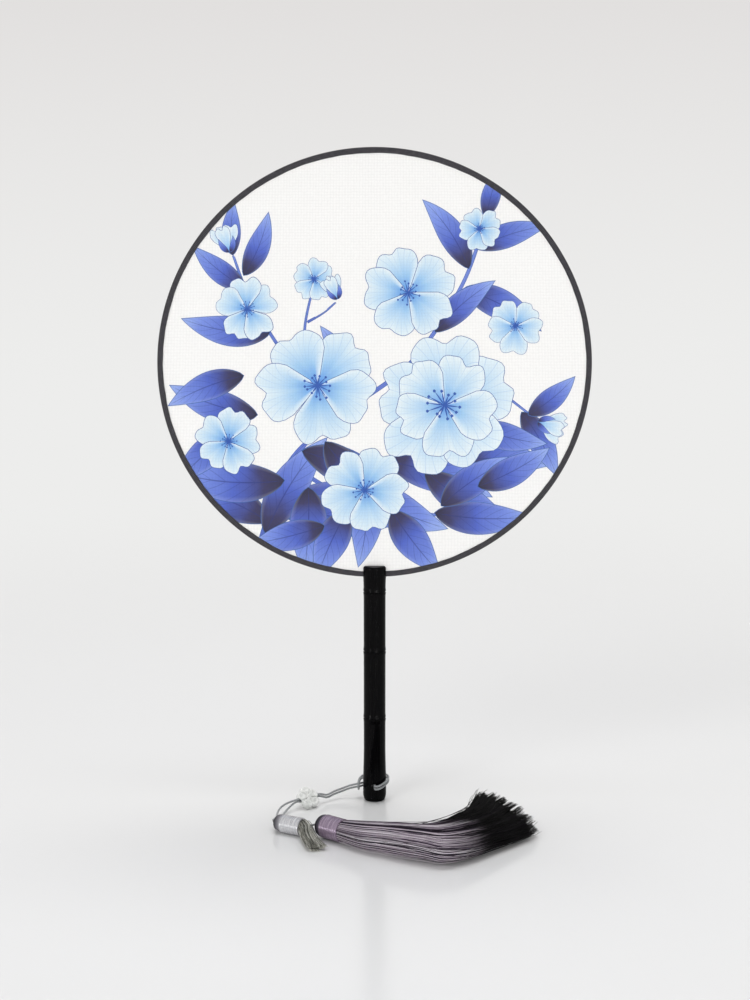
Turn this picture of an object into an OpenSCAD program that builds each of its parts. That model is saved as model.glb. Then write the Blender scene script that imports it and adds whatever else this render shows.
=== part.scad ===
// Round silk hand fan: a bound hoop with a silk face, a turned black handle
// and a two-tier tassel that lies on the surface in front of the handle's foot.
// Millimetres. Origin at the centre of the handle's foot, +Z up, the face looks along -Y.

/* [Hoop] */
// Outside diameter of the bound hoop
hoop_d = 260; // [200:5:320]
// Width of the wooden hoop strip, measured towards the hoop's centre
core_w = 3.0; // [2:0.1:6]
// Thickness of the wooden hoop strip, front to back
core_t = 2.2; // [1.4:0.1:4]
// Thickness of the edging tape folded over the rim
tape_t = 0.35; // [0.2:0.05:0.8]
// Thickness of the silk face
silk_t = 0.2; // [0.1:0.05:0.5]

/* [Handle] */
// Length of the handle, foot to top
handle_l = 149; // [110:1:200]
// Diameter of the handle at its waist
waist_d = 13.4; // [11:0.1:18]
// Diameter of the handle at its top
top_d = 14.2; // [12:0.1:20]
// Diameter of the handle above the rounded foot
foot_d = 14.3; // [12:0.1:20]
// Diameter of the flat that the handle stands on
foot_flat_d = 11; // [7:0.1:11.5]
// Height of the rounding at the foot
foot_round_h = 4.6; // [3:0.1:6]
// Radius of the rounded top edge
top_round_r = 1.4; // [0.6:0.1:2]
// How far the hoop sits down into the slot in the handle's top
slot_depth = 7; // [5:0.5:12]
// Height of the lowest node ring above the foot
node_low_z = 52.8; // [30:0.1:60]
// Distance from the lowest node ring to the middle one
node_step_low = 42.4; // [20:0.1:44]
// Distance from the middle node ring to the top one
node_step_high = 37.4; // [15:0.1:38]
// Depth of the groove cut at each node ring
groove_depth = 0.45; // [0.2:0.05:0.8]
// Height of the cord hole above the foot
hole_z = 10; // [8:0.5:20]
// Diameter of the cord hole
hole_d = 4.2; // [4:0.1:5]

/* [Hoop pins] */
// Diameter of the pins that hold the hoop in the slot
pin_d = 1.4; // [1:0.1:1.8]
// Distance between the two pins
pin_spacing = 6.4; // [4:0.2:8]

/* [Cord] */
// Diameter of one strand of the cord
strand_d = 1.3; // [1:0.05:1.4]

/* [Bead] */
// Overall diameter of the flower bead
bead_d = 14.8; // [13:0.1:15]
// Thickness of the bead's petals
bead_t = 4.6; // [4.2:0.1:5]
// Number of petals
petals = 5; // [4:1:7]
// Bore through the bead for the two strands
bead_bore_d = 3.0; // [2.9:0.05:3.2]

/* [Upper tassel] */
// Diameter of the upper head over its dome
upper_d = 10.6; // [9:0.1:10.8]
// Length of the upper head's dome, from its top to the band
upper_dome_l = 5.4; // [4.6:0.1:6]
// Length of the band wound round the upper head
upper_band_l = 13.5; // [9:0.1:14]
// Diameter of the wooden bead inside the upper head
upper_core_d = 6.4; // [4:0.1:6.8]

/* [Lower tassel] */
// Diameter of the lower head over its dome
lower_d = 13.8; // [11:0.1:14]
// Length of the lower head's dome, from its top to the band
lower_dome_l = 5.6; // [4.6:0.1:6.6]
// Length of the band wound round the lower head
lower_band_l = 13.6; // [9:0.1:14]
// Diameter of the wooden bead inside the lower head
lower_core_d = 8.4; // [5:0.1:9]

/* [Hidden] */
$fn = 96;

glue_gap = 0.05;      // film of glue between pieces that are stuck together
run_gap = 0.15;       // gap round pieces that turn or pass freely
floor_gap = 0.2;      // the tassel's yarn stays this far above the surface

hoop_r = hoop_d / 2;
core_out_r = hoop_r - tape_t - glue_gap;
core_in_r = core_out_r - core_w;
tape_in_r = core_in_r;
face_y = -core_t / 2 - silk_t;                 // front of the silk
tape_front_y = face_y - glue_gap - tape_t;
tape_back_y = core_t / 2 + glue_gap + tape_t;
hoop_bottom_z = handle_l - slot_depth + glue_gap;
hoop_z = hoop_bottom_z + hoop_r;               // height of the hoop's centre
pin_z = hoop_bottom_z + tape_t + glue_gap + core_w / 2;

node_z = [node_low_z, node_low_z + node_step_low, node_low_z + node_step_low + node_step_high];
groove_half = 0.65;   // half the width of a node's groove at its mouth
swell = 0.28;         // how far the handle swells beside a node ring
swell_l = 3.2;        // length over which that swelling fades
foot_taper_l = 34;    // length of the flare at the foot end
top_taper_l = 16;     // length of the flare at the top end

pin_back_inset = 0.15;                          // the pins end just inside the handle's back
pin_blind_y = -5;                               // closed end of the pin holes, in the front cheek
pin_end_y = sqrt(pow(top_d / 2, 2) - pow(pin_spacing / 2 + pin_d / 2, 2)) - pin_back_inset;

strand_pitch = 1.8;   // distance between the two strands where they lie one over the other
bight_r = 2.5;        // radius of the bight that the strands pass through
bight_at = [-10, 3.4, 8];
bight_heading = 182;  // compass direction of the strands where they pass the bight
bead_heading = 220.5; // the same through the bead
bead_at = [-41, -15, 5.7];
bead_tilt = 42;       // the flower leans back by this much from lying flat

knot_r = 1.5;
knot_gap = 0.15;      // gap round a knot where it sits in the top of its dome
head_lead = 0.4;      // distance from a knot's centre to the top of its dome
upper_heading = -31;  // direction in which the upper head points
lower_heading = -40;  // the same for the lower head
upper_pivot = [-59.6, -59.5, 5.7];
lower_pivot = [-33.6, -68.7, 7.4];
dome_mouth_r = 1.6;   // radius of the hollow in a dome's top that the knot sits in
neck_past = 0.5;      // how far a neck shows past its band
yarn_bore_d = 1.8;    // the cord's way through the yarn
core_depth = 2.4;     // yarn between a head's top and the wooden bead inside
band_t = 0.5;         // thickness of a wound band
band_proud = 0.15;    // how far a band stands above its dome

// One leg of the cord loop at the foot, as plan positions with heights above the hole:
// from the bight behind the handle, through the hole to the front, round the right side and back
leg_route = [[-9.5, 3.4, -2], [-6.8, 5.2, -1.6], [-4.4, 7.3, -1], [-2.4, 9, -0.4], [-0.6, 9.9, 0],
    [0.8, 9.2, 0], [0.7, 7.4, 0], [0.2, 4.5, 0], [0, 0, 0], [0, -4.5, 0], [0.2, -7.4, 0],
    [1.2, -9.1, 0.2], [3.2, -9, 0.7], [5.6, -7.3, 1.6], [7.5, -4.4, 2.5], [8.5, -1, 3.2],
    [8.3, 2.4, 3.5], [6.9, 5.5, 3.5], [4.4, 7.9, 3.5], [1.2, 9.1, 3.5], [-2.2, 8.9, 3.5],
    [-5, 7.6, 3.3]];
// The two ends of the bight, the same way
bight_in = [[-7.6, 7, 3], [-9.4, 6.4, 1.2]];
bight_out = [[-9.6, 1.2, 0.6], [-8.9, 3, 1.8], [-7.3, 5.3, 2.3]];

// The two free strands, from the bight through the bead to the upper knot
strand_a_route = [[-10.5, 3.4, 8.9], [-15, 3.4, 7.9], [-20, 2.2, 6.4], [-25, -0.6, 5.3],
    [-29.5, -5.2, 4.6], [-34.2, -9.2, 6.4], [-41, -15, 6.4], [-47.8, -20.8, 6.4],
    [-51.2, -23.2, 6.1], [-54.6, -26.2, 5.4], [-57, -30, 4.7], [-58.4, -35, 4.2],
    [-58.9, -41.5, 4.3], [-59, -48.6, 5], [-59.9, -54, 5.7], [-60.6, -57.9, 6.3]];
strand_b_route = [[-10.5, 3.4, 7.1], [-15, 3.4, 6.1], [-20, 2.2, 4.6], [-25, -0.6, 3.5],
    [-29.5, -5.2, 2.9], [-34.2, -9.2, 5], [-41, -15, 5], [-47.8, -20.8, 5],
    [-50.4, -23.2, 4.1], [-52.6, -26.4, 2.9], [-54.4, -31, 2.2], [-55.4, -36.8, 2.3],
    [-56, -43, 2.8], [-56.7, -49, 3.8], [-58.1, -54.2, 4.8], [-59.4, -57.7, 5.2]];
// The cord from the upper head to the lower one, past the end of the upper head's neck
link_route = [[-40.6, -69.6, 6], [-38, -69.2, 6.6], [-35.6, -68.8, 7.1]];

// Both skirts past their necks: each section is [left edge, right edge, thickness]
upper_skirt = [[[-38.8, -67.8, 5.9], [-44.4, -75.6, 5.3], 9.8],
    [[-36.8, -71.4, 5.4], [-43.6, -78, 4.5], 9], [[-35.8, -76.2, 4.6], [-43.4, -80.8, 3.6], 7.2],
    [[-33.8, -82.2, 3.6], [-42.6, -84.4, 2.9], 5.6], [[-31.2, -88.4, 2.6], [-41.2, -89.6, 2.3], 4.2],
    [[-29, -94, 2.1], [-39.6, -94.8, 2.1], 3.4]];
lower_skirt = [[[-2, -85.5, 8.4], [-9.5, -100, 8.4], 16], [[7.5, -90, 9.2], [2.5, -107.5, 9.2], 17.5],
    [[17, -92.5, 9.8], [15, -115.5, 9.8], 18.8], [[26, -93.5, 10.6], [27.5, -122, 9.8], 19.4],
    [[34, -90.5, 11.9], [39.5, -127, 8.7], 19.4], [[41, -84.5, 13.2], [51, -121.5, 7.3], 18.8],
    [[46.5, -77.5, 14.1], [61, -112, 6.1], 17.8], [[51.5, -70.5, 14.8], [70, -102, 5.2], 16.8],
    [[56, -62, 15.8], [79.5, -92, 4.4], 15.8], [[58.5, -54, 17], [86.5, -83.5, 3.8], 15],
    [[60.5, -47.5, 17.8], [93, -76, 3.3], 14]];
skirt_sides = 20;
upper_tip = 2.5;      // how far the cut end bulges past its last section
lower_tip = 5;

// Plain vector helpers
function unit(v) = v / norm(v);
function reversed(list) = [for (i = [len(list) - 1:-1:0]) list[i]];
function smooth(t) = let (c = min(1, max(0, t))) c * c * (3 - 2 * c);
function plan(angle) = [cos(angle), sin(angle), 0];
function along(start, heading, distance) = start + distance * plan(heading);

// Directions along a route, and sides that turn with it without twisting
function route_dirs(r) =
    [for (i = [0:len(r) - 1]) unit(r[min(i + 1, len(r) - 1)] - r[max(i - 1, 0)])];
function side_step(side, dir) = unit(side - (side * dir) * dir);
function first_side(dir) = unit(cross(dir, abs(dir[2]) < 0.9 ? [0, 0, 1] : [1, 0, 0]));
function route_sides(dirs) =
    [for (i = 0, s = first_side(dirs[0]); i < len(dirs);
        i = i + 1, s = i < len(dirs) ? side_step(s, dirs[i]) : s) s];

// Points of a round ring and of an elliptical one
function round_ring(at, dir, side, r, sides) = let (up = cross(dir, side))
    [for (k = [0:sides - 1]) let (a = 360 * k / sides) at + r * (cos(a) * side + sin(a) * up)];
function oval_ring(s, dir) = let (half = (s[0] - s[1]) / 2, tall = s[2] / 2 * unit(cross(dir, half)))
    [for (k = [0:skirt_sides - 1]) let (a = 360 * k / skirt_sides)
        (s[0] + s[1]) / 2 + cos(a) * half + sin(a) * tall];

// A closed solid through rings of equal size, capped at two tip points
module skin(rings, tip_a, tip_b) {
    n = len(rings[0]);
    m = len(rings);
    points = [for (ring = rings) each ring, tip_a, tip_b];
    walls = [for (i = [0:m - 2], k = [0:n - 1])
        let (a = i * n + k, b = i * n + (k + 1) % n)
        each [[a, b, b + n], [a, b + n, a + n]]];
    caps = [for (k = [0:n - 1]) each
        [[(k + 1) % n, k, m * n], [(m - 1) * n + k, (m - 1) * n + (k + 1) % n, m * n + 1]]];
    polyhedron(points, [for (f = concat(walls, caps)) reversed(f)], convexity = 8);
}

// A cord of eight sides along a route
module tube(route, d) {
    dirs = route_dirs(route);
    sides = route_sides(dirs);
    skin([for (i = [0:len(route) - 1]) round_ring(route[i], dirs[i], sides[i], d / 2, 8)],
        route[0], route[len(route) - 1]);
}

// A bundle of yarn through oval sections
module bundle(sections, tip) {
    centres = [for (s = sections) (s[0] + s[1]) / 2];
    dirs = route_dirs(centres);
    last = len(centres) - 1;
    skin([for (i = [0:last]) oval_ring(sections[i], dirs[i])],
        centres[0], centres[last] + tip * dirs[last]);
}

// Children drawn along +Z are laid in the surface's plane, pointing along a heading
module laid(at, heading) {
    translate(at) rotate([0, 0, heading]) rotate([0, 90, 0]) children();
}

// Children drawn round +Z are stood up in the plane of the hoop
module in_hoop() {
    translate([0, 0, hoop_z]) rotate([90, 0, 0]) children();
}

module pin_holes(d) {
    for (side = [-1, 1])
        translate([side * pin_spacing / 2, pin_blind_y, pin_z]) rotate([-90, 0, 0])
            cylinder(h = top_d, d = d, $fn = 32);
}

module ring(r_out, r_in, h) {
    difference() {
        cylinder(h = h, r = r_out, $fn = 240);
        translate([0, 0, -1]) cylinder(h = h + 2, r = r_in, $fn = 240);
    }
}

// Hoop

module hoop_core() {
    color("burlywood") difference() {
        in_hoop() translate([0, 0, -core_t / 2]) ring(core_out_r, core_in_r, core_t);
        pin_holes(pin_d + 2 * glue_gap);
    }
}

module silk_panel() {
    color("ivory") difference() {
        in_hoop() translate([0, 0, core_t / 2]) cylinder(h = silk_t, r = core_out_r, $fn = 240);
        pin_holes(pin_d + 2 * glue_gap);
    }
}

// The tape's section is a U whose two lips reach the hoop strip's inner edge
module edge_binding() {
    color("dimgray") difference() {
        in_hoop() rotate_extrude($fn = 240) polygon([
            [tape_in_r, -tape_back_y], [hoop_r, -tape_back_y],
            [hoop_r, -tape_front_y], [tape_in_r, -tape_front_y],
            [tape_in_r, -tape_front_y - tape_t], [hoop_r - tape_t, -tape_front_y - tape_t],
            [hoop_r - tape_t, -tape_back_y + tape_t], [tape_in_r, -tape_back_y + tape_t]]);
        pin_holes(pin_d + 2 * glue_gap);
    }
}

// Handle

function body_r(z) = waist_d / 2
    + (foot_d - waist_d) / 2 * smooth((foot_taper_l - z) / (foot_taper_l - 2 * foot_round_h))
    + (top_d - waist_d) / 2 * smooth((z - handle_l + top_taper_l) / (top_taper_l - 2))
    + swell * max([for (n = node_z) 1 - smooth(abs(z - n) / swell_l)]);

// Outline points of one node's groove, and of the plain stretch up to the next one
function groove(n) = [[body_r(n - groove_half), n - groove_half],
    [body_r(n) - groove_depth, n - groove_half / 4], [body_r(n) - groove_depth, n + groove_half / 4],
    [body_r(n + groove_half), n + groove_half]];
function stretch(from, to) = let (steps = max(2, round((to - from) / 2.2)))
    [for (i = [1:steps - 1]) let (z = from + (to - from) * i / steps) [body_r(z), z]];

module handle_blank() {
    foot_r = body_r(foot_round_h);
    flat_r = foot_flat_d / 2;
    top_r = body_r(handle_l) - top_round_r;
    outline = concat(
        [[0, 0], [flat_r, 0]],
        [for (a = [10:20:70]) [flat_r + (foot_r - flat_r) * sin(a), foot_round_h * (1 - cos(a))]],
        [[foot_r, foot_round_h]],
        stretch(foot_round_h, node_z[0] - groove_half), groove(node_z[0]),
        stretch(node_z[0] + groove_half, node_z[1] - groove_half), groove(node_z[1]),
        stretch(node_z[1] + groove_half, node_z[2] - groove_half), groove(node_z[2]),
        stretch(node_z[2] + groove_half, handle_l - top_round_r),
        [for (a = [0:15:90])
            [top_r + top_round_r * cos(a), handle_l - top_round_r * (1 - sin(a))]],
        [[0, handle_l]]);
    rotate_extrude() polygon(outline);
}

module handle() {
    slot_front_y = tape_front_y - glue_gap;
    slot_back_y = tape_back_y + glue_gap;
    color("#141316") difference() {
        handle_blank();
        translate([-top_d, slot_front_y, handle_l - slot_depth])
            cube([2 * top_d, slot_back_y - slot_front_y, slot_depth + 1]);
        translate([0, foot_d, hole_z]) rotate([90, 0, 0]) cylinder(h = 2 * foot_d, d = hole_d);
        pin_holes(pin_d + 2 * glue_gap);
    }
}

module hoop_pins() {
    color("tan") for (side = [-1, 1])
        translate([side * pin_spacing / 2, pin_blind_y + glue_gap, pin_z]) rotate([-90, 0, 0])
            cylinder(h = pin_end_y - pin_blind_y - glue_gap, d = pin_d, $fn = 32);
}

// Cord

// One leg: level +1 is the upper strand, level -1 the lower one
function leg(level) = [for (p = leg_route) p + [0, 0, hole_z + level * strand_pitch / 2]];
function raised(list) = [for (p = list) p + [0, 0, hole_z]];
// The bight turns round the two strands, square to them
function bight() = [for (a = [75:35:285])
    bight_at + bight_r * (sin(a) * plan(bight_heading - 90) + cos(a) * [0, 0, 1])];

module foot_loop() {
    color("silver") tube(concat(leg(1), raised(bight_in), bight(), raised(bight_out),
        reversed(leg(-1))), strand_d);
}

module cord_strand_a() {
    color("silver") tube(strand_a_route, strand_d);
}

module cord_strand_b() {
    color("silver") tube(strand_b_route, strand_d);
}

// Bead

module petal(r) {
    edge = bead_t / 2;
    rotate_extrude($fn = 48) union() {
        translate([0, -edge]) square([r - edge, bead_t]);
        intersection() {
            translate([r - edge, 0]) circle(edge, $fn = 32);
            translate([0, -edge]) square([r, bead_t]);
        }
    }
}

module flower_bead() {
    petal_r = bead_d * 0.235;
    color("#eef2ea") translate(bead_at) rotate([0, 0, bead_heading - 180])
        rotate([bead_tilt, 0, 0]) difference() {
            union() {
                for (k = [0:petals - 1]) rotate([0, 0, 90 + 360 * k / petals])
                    translate([bead_d / 2 - petal_r, 0, 0]) petal(petal_r);
                cylinder(h = bead_t - 0.6, r = bead_d / 2 - petal_r, center = true, $fn = 48);
            }
            rotate([0, 90, 0]) cylinder(h = 2 * bead_d, d = bead_bore_d, center = true, $fn = 48);
        }
}

// Tassel heads: a wooden bead inside, yarn folded over it, a wound band, a knot on top

// The yarn from its top to the end of its neck, with the hollow that holds the wooden bead
module head_yarn(d, dome_l, band_l, core_d) {
    dome_r = d / 2 - band_proud;
    neck_r = d / 2 + band_proud - band_t - glue_gap;
    difference() {
        rotate_extrude() polygon(concat(
            [[0, 0], [dome_mouth_r, 0]],
            [for (a = [15:15:90]) [dome_mouth_r + (dome_r - dome_mouth_r) * sin(a),
                dome_l * 0.8 * (1 - cos(a))]],
            [[dome_r, dome_l - glue_gap], [neck_r, dome_l - glue_gap],
                [neck_r, dome_l + band_l + neck_past], [0, dome_l + band_l + neck_past]]));
        translate([0, 0, core_d / 2 + core_depth]) sphere(d = core_d + 2 * glue_gap, $fn = 48);
        translate([0, 0, -head_lead]) sphere(r = knot_r + knot_gap, $fn = 48);
    }
}

module head_band(d, dome_l, band_l) {
    out_r = d / 2 + band_proud;
    soft = 0.2; // rounding of the band's two edges
    rotate_extrude() polygon([
        [out_r - band_t, dome_l], [out_r - soft, dome_l], [out_r, dome_l + soft],
        [out_r, dome_l + band_l - soft], [out_r - soft, dome_l + band_l],
        [out_r - band_t, dome_l + band_l]]);
}

module head_core(core_d) {
    translate([0, 0, core_d / 2 + core_depth]) difference() {
        sphere(d = core_d, $fn = 48);
        cylinder(h = core_d + 2, d = yarn_bore_d, center = true, $fn = 32);
    }
}

function head_top(pivot, heading) = along(pivot, heading, head_lead);
// A round section across a neck, that its skirt grows from
function neck_section(pivot, heading, distance, d) =
    let (p = along(head_top(pivot, heading), heading, distance), out = d / 2 * plan(heading + 90))
    [p + out, p - out, d];

upper_head_l = upper_dome_l + upper_band_l + neck_past;
lower_head_l = lower_dome_l + lower_band_l + neck_past;
upper_neck_d = upper_d + 2 * (band_proud - band_t - glue_gap);
lower_neck_d = lower_d + 2 * (band_proud - band_t - glue_gap);
link_path = concat([along(upper_pivot, upper_heading, knot_r + glue_gap),
    along(upper_pivot, upper_heading, upper_head_l / 2),
    along(head_top(upper_pivot, upper_heading), upper_heading, upper_head_l - 2)], link_route);

module upper_knot() {
    color("gray") translate(upper_pivot) sphere(r = knot_r, $fn = 32);
}

module upper_core() {
    color("burlywood") laid(head_top(upper_pivot, upper_heading), upper_heading) head_core(upper_core_d);
}

module upper_yarn() {
    color("#9aa09a") difference() {
        union() {
            laid(head_top(upper_pivot, upper_heading), upper_heading)
                head_yarn(upper_d, upper_dome_l, upper_band_l, upper_core_d);
            bundle(concat([neck_section(upper_pivot, upper_heading, upper_head_l - 3, upper_neck_d - 1),
                neck_section(upper_pivot, upper_heading, upper_head_l, upper_neck_d - 0.6)],
                upper_skirt), upper_tip);
        }
        tube(link_path, yarn_bore_d);
    }
}

module upper_band() {
    color("gainsboro") laid(head_top(upper_pivot, upper_heading), upper_heading)
        head_band(upper_d, upper_dome_l, upper_band_l);
}

module link_cord() {
    color("silver") tube(link_path, strand_d);
}

module lower_knot() {
    color("dimgray") translate(lower_pivot) sphere(r = knot_r, $fn = 32);
}

module lower_core() {
    color("burlywood") laid(head_top(lower_pivot, lower_heading), lower_heading) head_core(lower_core_d);
}

module lower_yarn() {
    color("#6d6470") difference() {
        union() {
            laid(head_top(lower_pivot, lower_heading), lower_heading)
                head_yarn(lower_d, lower_dome_l, lower_band_l, lower_core_d);
            bundle(concat([neck_section(lower_pivot, lower_heading, lower_head_l - 3, lower_neck_d - 1),
                neck_section(lower_pivot, lower_heading, lower_head_l, lower_neck_d - 0.6)],
                lower_skirt), lower_tip);
        }
        laid(lower_pivot, lower_heading) cylinder(h = lower_dome_l + lower_core_d, d = yarn_bore_d,
            $fn = 32);
    }
}

module lower_band() {
    color("#8d7c93") laid(head_top(lower_pivot, lower_heading), lower_heading)
        head_band(lower_d, lower_dome_l, lower_band_l);
}

hoop_core();
silk_panel();
edge_binding();
handle();
hoop_pins();
foot_loop();
cord_strand_a();
cord_strand_b();
flower_bead();
upper_knot();
upper_core();
upper_yarn();
upper_band();
link_cord();
lower_knot();
lower_core();
lower_yarn();
lower_band();
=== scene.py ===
import math
import random
import bpy
import bmesh
from mathutils import Matrix, Vector


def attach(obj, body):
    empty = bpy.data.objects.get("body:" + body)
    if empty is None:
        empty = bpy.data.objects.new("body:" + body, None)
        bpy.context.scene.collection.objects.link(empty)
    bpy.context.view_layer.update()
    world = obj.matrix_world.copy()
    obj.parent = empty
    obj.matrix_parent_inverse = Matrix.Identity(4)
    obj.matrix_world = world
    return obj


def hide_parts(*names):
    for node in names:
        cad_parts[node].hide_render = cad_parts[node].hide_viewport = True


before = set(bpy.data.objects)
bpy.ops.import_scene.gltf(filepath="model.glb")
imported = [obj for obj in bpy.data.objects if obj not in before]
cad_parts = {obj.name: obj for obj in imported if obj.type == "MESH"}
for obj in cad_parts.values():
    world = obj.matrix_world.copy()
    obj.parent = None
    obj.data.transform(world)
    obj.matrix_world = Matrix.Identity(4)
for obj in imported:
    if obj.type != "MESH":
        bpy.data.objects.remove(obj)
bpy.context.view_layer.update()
mm = 0.001
print("frame loaded")


# Small tools

def colourOf(hexColour):
    channels = [int(hexColour[i:i + 2], 16) / 255 for i in (1, 3, 5)]
    linear = [c / 12.92 if c <= 0.04045 else ((c + 0.055) / 1.055) ** 2.4 for c in channels]
    return (*linear, 1.0)


def newMaterial(name, **sockets):
    material = bpy.data.materials.new(name)
    material.use_nodes = True
    tree = material.node_tree
    shader = tree.nodes["Principled BSDF"]
    for key, value in sockets.items():
        shader.inputs[key.replace("_", " ")].default_value = value
    return material, tree, shader


def addNode(tree, kind, settings=None, links=None):
    node = tree.nodes.new(kind)
    for key, value in (settings or {}).items():
        if key == "stops":
            ramp = node.color_ramp
            while len(ramp.elements) > 1:
                ramp.elements.remove(ramp.elements[0])
            ramp.elements[0].position = value[0][0]
            ramp.elements[0].color = colourOf(value[0][1])
            for at, hexColour in value[1:]:
                ramp.elements.new(at).color = colourOf(hexColour)
        elif isinstance(key, str) and hasattr(node, key):
            setattr(node, key, value)
        else:
            node.inputs[key].default_value = value
    for key, source in (links or {}).items():
        tree.links.new(source, node.inputs[key])
    return node


def rampNode(tree, factor, stops):
    return addNode(tree, "ShaderNodeValToRGB", {"stops": stops}, {"Fac": factor})


def noiseNode(tree, place, **settings):
    return addNode(tree, "ShaderNodeTexNoise", settings, {"Vector": place})


def mathNode(tree, operation, *values):
    numbers = {i: v for i, v in enumerate(values) if isinstance(v, float)}
    links = {i: v for i, v in enumerate(values) if not isinstance(v, float)}
    return addNode(tree, "ShaderNodeMath", {"operation": operation, **numbers}, links)


def seenRays(tree):
    # 1 for rays from the camera, a mirror or a glass, 0 for those that only light the part
    rays = addNode(tree, "ShaderNodeLightPath")
    seen = mathNode(tree, "MAXIMUM", rays.outputs["Is Camera Ray"], rays.outputs["Is Glossy Ray"])
    return mathNode(tree, "MAXIMUM", seen.outputs[0], rays.outputs["Is Transmission Ray"]).outputs[0]


def joinBump(tree, shader, height, distance, strength):
    bump = addNode(tree, "ShaderNodeBump", {"Strength": strength, "Distance": distance}, {"Height": height})
    tree.links.new(bump.outputs["Normal"], shader.inputs["Normal"])


def catmull(points, perSpan):
    result = []
    last = len(points) - 1
    for i in range(last):
        a, b, c, d = (Vector(points[min(max(i + k, 0), last)]) for k in (-1, 0, 1, 2))
        for step in range(perSpan):
            t = step / perSpan
            result.append(0.5 * (2 * b + (c - a) * t + (2 * a - 5 * b + 4 * c - d) * t * t
                                 + (3 * b - a - 3 * c + d) * t ** 3))
    result.append(Vector(points[last]))
    return result


def evenly(points, spacing):
    lengths = [0.0]
    for a, b in zip(points[:-1], points[1:]):
        lengths.append(lengths[-1] + (b - a).length)
    count = max(2, round(lengths[-1] / spacing))
    result, at = [], 0
    for k in range(count + 1):
        want = lengths[-1] * k / count
        while at < len(points) - 2 and lengths[at + 1] < want:
            at += 1
        span = lengths[at + 1] - lengths[at]
        result.append(points[at].lerp(points[at + 1], (want - lengths[at]) / span if span else 0))
    return result


def plan(angle):
    return Vector((math.cos(math.radians(angle)), math.sin(math.radians(angle)), 0))


def makeObject(name, verts, faces, materials, uvs=None, faceMaterials=None, smooth=True):
    mesh = bpy.data.meshes.new(name)
    mesh.from_pydata([tuple(v) for v in verts], [], faces)
    for material in materials:
        mesh.materials.append(material)
    mesh.polygons.foreach_set("use_smooth", [smooth] * len(mesh.polygons))
    if faceMaterials:
        mesh.polygons.foreach_set("material_index", faceMaterials)
    if uvs:
        layer = mesh.uv_layers.new(name="UVMap")
        for loop in mesh.loops:
            layer.data[loop.index].uv = uvs[loop.vertex_index]
    mesh.update()
    piece = bpy.data.objects.new(name, mesh)
    bpy.context.scene.collection.objects.link(piece)
    return piece


def tubeFaces(base, ringCount, n):
    return [(base + i * n + k, base + i * n + (k + 1) % n, base + (i + 1) * n + (k + 1) % n,
             base + (i + 1) * n + k)
            for i in range(ringCount - 1) for k in range(n)]


def skinRings(rings, capped=True):
    n = len(rings[0])
    verts = [p for ring in rings for p in ring]
    faces = tubeFaces(0, len(rings), n)
    if capped:
        faces.append(tuple(reversed(range(n))))
        faces.append(tuple(range(len(verts) - n, len(verts))))
    return verts, faces


def pathFrames(path):
    side, result = None, []
    for i, p in enumerate(path):
        direction = (path[min(i + 1, len(path) - 1)] - path[max(i - 1, 0)]).normalized()
        if side is None:
            side = direction.cross(Vector((0, 0, 1)) if abs(direction.z) < 0.9 else Vector((1, 0, 0)))
        side = (side - direction * side.dot(direction)).normalized()
        result.append((p, side, direction.cross(side)))
    return result


# Camera, at the photograph's place

cameraView = {"distance": 1.6, "height": 0.5322, "sideways": 0.00024, "pitchDegrees": 12.087, "lens": 97.362}

cameraData = bpy.data.cameras.new("camera")
cameraData.lens = cameraView["lens"]
cameraData.sensor_width = 36
cameraData.clip_end = 100
camera = bpy.data.objects.new("camera", cameraData)
camera.location = (cameraView["sideways"], -cameraView["distance"], cameraView["height"])
camera.rotation_euler = (math.radians(90 - cameraView["pitchDegrees"]), 0, 0)
bpy.context.scene.collection.objects.link(camera)
bpy.context.scene.camera = camera
bpy.context.scene.view_settings.view_transform = "Standard"
print("camera set")


# Cord: silver-grey viscose, three plies twisted; satin, so it glints along its twist

cordLook = {"diameter": 1.3, "plies": 3, "layLength": 3.4, "colour": "#a9acae", "shade": "#6d7073"}

twistedCord, tree, shader = newMaterial("twistedViscoseCord", Roughness=0.34, Sheen_Weight=0.25)
uv = addNode(tree, "ShaderNodeTexCoord")
fibre = noiseNode(tree, uv.outputs["Object"], Scale=4200.0, Detail=2.0)  # 0.24 mm filaments
shade = rampNode(tree, fibre.outputs["Fac"], [(0.3, cordLook["shade"]), (0.6, cordLook["colour"]),
                                              (0.9, "#d2d5d6")])
tree.links.new(shade.outputs["Color"], shader.inputs["Base Color"])
joinBump(tree, shader, fibre.outputs["Fac"], 0.00008, 0.5)


def twistedMesh(name, path, material, diameter=cordLook["diameter"], plies=cordLook["plies"], sides=15):
    rings, travelled, before = [], 0.0, path[0]
    for p, side, up in pathFrames(path):
        travelled += (p - before).length
        before = p
        turn = 2 * math.pi * travelled / cordLook["layLength"]
        ring = []
        for k in range(sides):
            a = 2 * math.pi * k / sides
            lobe = abs(math.cos(plies / 2 * (a - turn)))
            r = diameter / 2 * (0.8 + 0.2 * math.sqrt(lobe))
            ring.append((p + r * (math.cos(a) * side + math.sin(a) * up)) * mm)
        rings.append(ring)
    return makeObject(name, *skinRings(rings), [material])


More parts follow.
